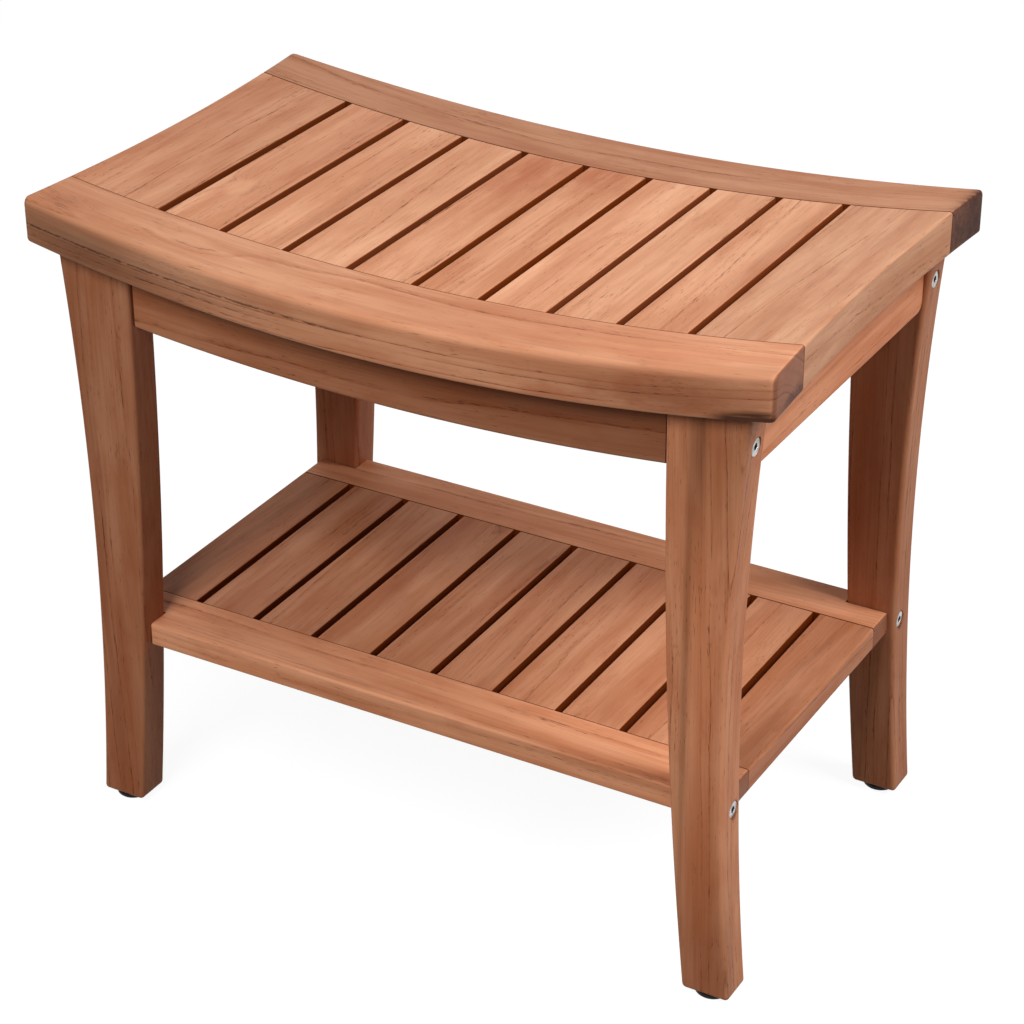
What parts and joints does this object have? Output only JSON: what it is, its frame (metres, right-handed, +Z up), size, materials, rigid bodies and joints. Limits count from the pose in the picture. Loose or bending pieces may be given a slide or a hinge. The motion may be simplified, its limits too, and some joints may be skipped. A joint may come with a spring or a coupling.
{
  "type": "shower bench",
  "caption": "Teak shower bench with a curved slatted seat, flared legs, aprons, a slatted lower shelf and levelling feet.",
  "frame": {"origin": "on the floor under the middle of the bench", "axes": "+X along the seat to the right end, +Y to the rear, +Z up"},
  "size_m": [0.532, 0.332, 0.4588],
  "materials": {
    "teak": "oiled teak, satin",
    "beech": "plain, unfinished",
    "bolt_steel": "bright stainless",
    "zinc_steel": "zinc plated",
    "brass": "plain",
    "black_plastic": "matte black"
  },
  "bodies": {
    "frame": {"seat_front_rail": "teak", "seat_rear_rail": "teak", "seat_end_board_left": "teak", "seat_end_board_right": "teak", "seat_slat_1": "teak", "seat_slat_2": "teak", "seat_slat_3": "teak", "seat_slat_4": "teak", "seat_slat_5": "teak", "seat_slat_6": "teak", "seat_slat_7": "teak", "seat_slat_8": "teak", "front_apron": "teak", "rear_apron": "teak", "side_apron_left": "teak", "side_apron_right": "teak", "leg_front_left": "teak", "leg_front_right": "teak", "leg_rear_left": "teak", "leg_rear_right": "teak", "shelf_front_rail": "teak", "shelf_rear_rail": "teak", "shelf_end_board_left": "teak", "shelf_end_board_right": "teak", "shelf_slat_1": "teak", "shelf_slat_2": "teak", "shelf_slat_3": "teak", "shelf_slat_4": "teak", "shelf_slat_5": "teak", "shelf_slat_6": "teak", "shelf_slat_7": "teak", "shelf_slat_8": "teak", "seat_dowels": "beech", "apron_dowels": "beech", "side_apron_dowels": "beech", "shelf_dowels": "beech", "apron_bolts": "bolt_steel", "shelf_bolts": "bolt_steel", "apron_barrel_nuts": "bolt_steel", "shelf_barrel_nuts": "bolt_steel", "foot_inserts": "brass"},
    "foot_front_left": {"foot_pad_front_left": "black_plastic", "foot_stud_front_left": "zinc_steel"},
    "foot_front_right": {"foot_pad_front_right": "black_plastic", "foot_stud_front_right": "zinc_steel"},
    "foot_rear_left": {"foot_pad_rear_left": "black_plastic", "foot_stud_rear_left": "zinc_steel"},
    "foot_rear_right": {"foot_pad_rear_right": "black_plastic", "foot_stud_rear_right": "zinc_steel"}
  },
  "joints": [
    {"name": "foot_front_left_level", "type": "slide", "parent": "frame", "child": "foot_front_left", "axis": [0, 0, -1], "range_m": [0, 0.008]},
    {"name": "foot_front_right_level", "type": "slide", "parent": "frame", "child": "foot_front_right", "axis": [0, 0, -1], "range_m": [0, 0.008]},
    {"name": "foot_rear_left_level", "type": "slide", "parent": "frame", "child": "foot_rear_left", "axis": [0, 0, -1], "range_m": [0, 0.008]},
    {"name": "foot_rear_right_level", "type": "slide", "parent": "frame", "child": "foot_rear_right", "axis": [0, 0, -1], "range_m": [0, 0.008]}
  ]
}
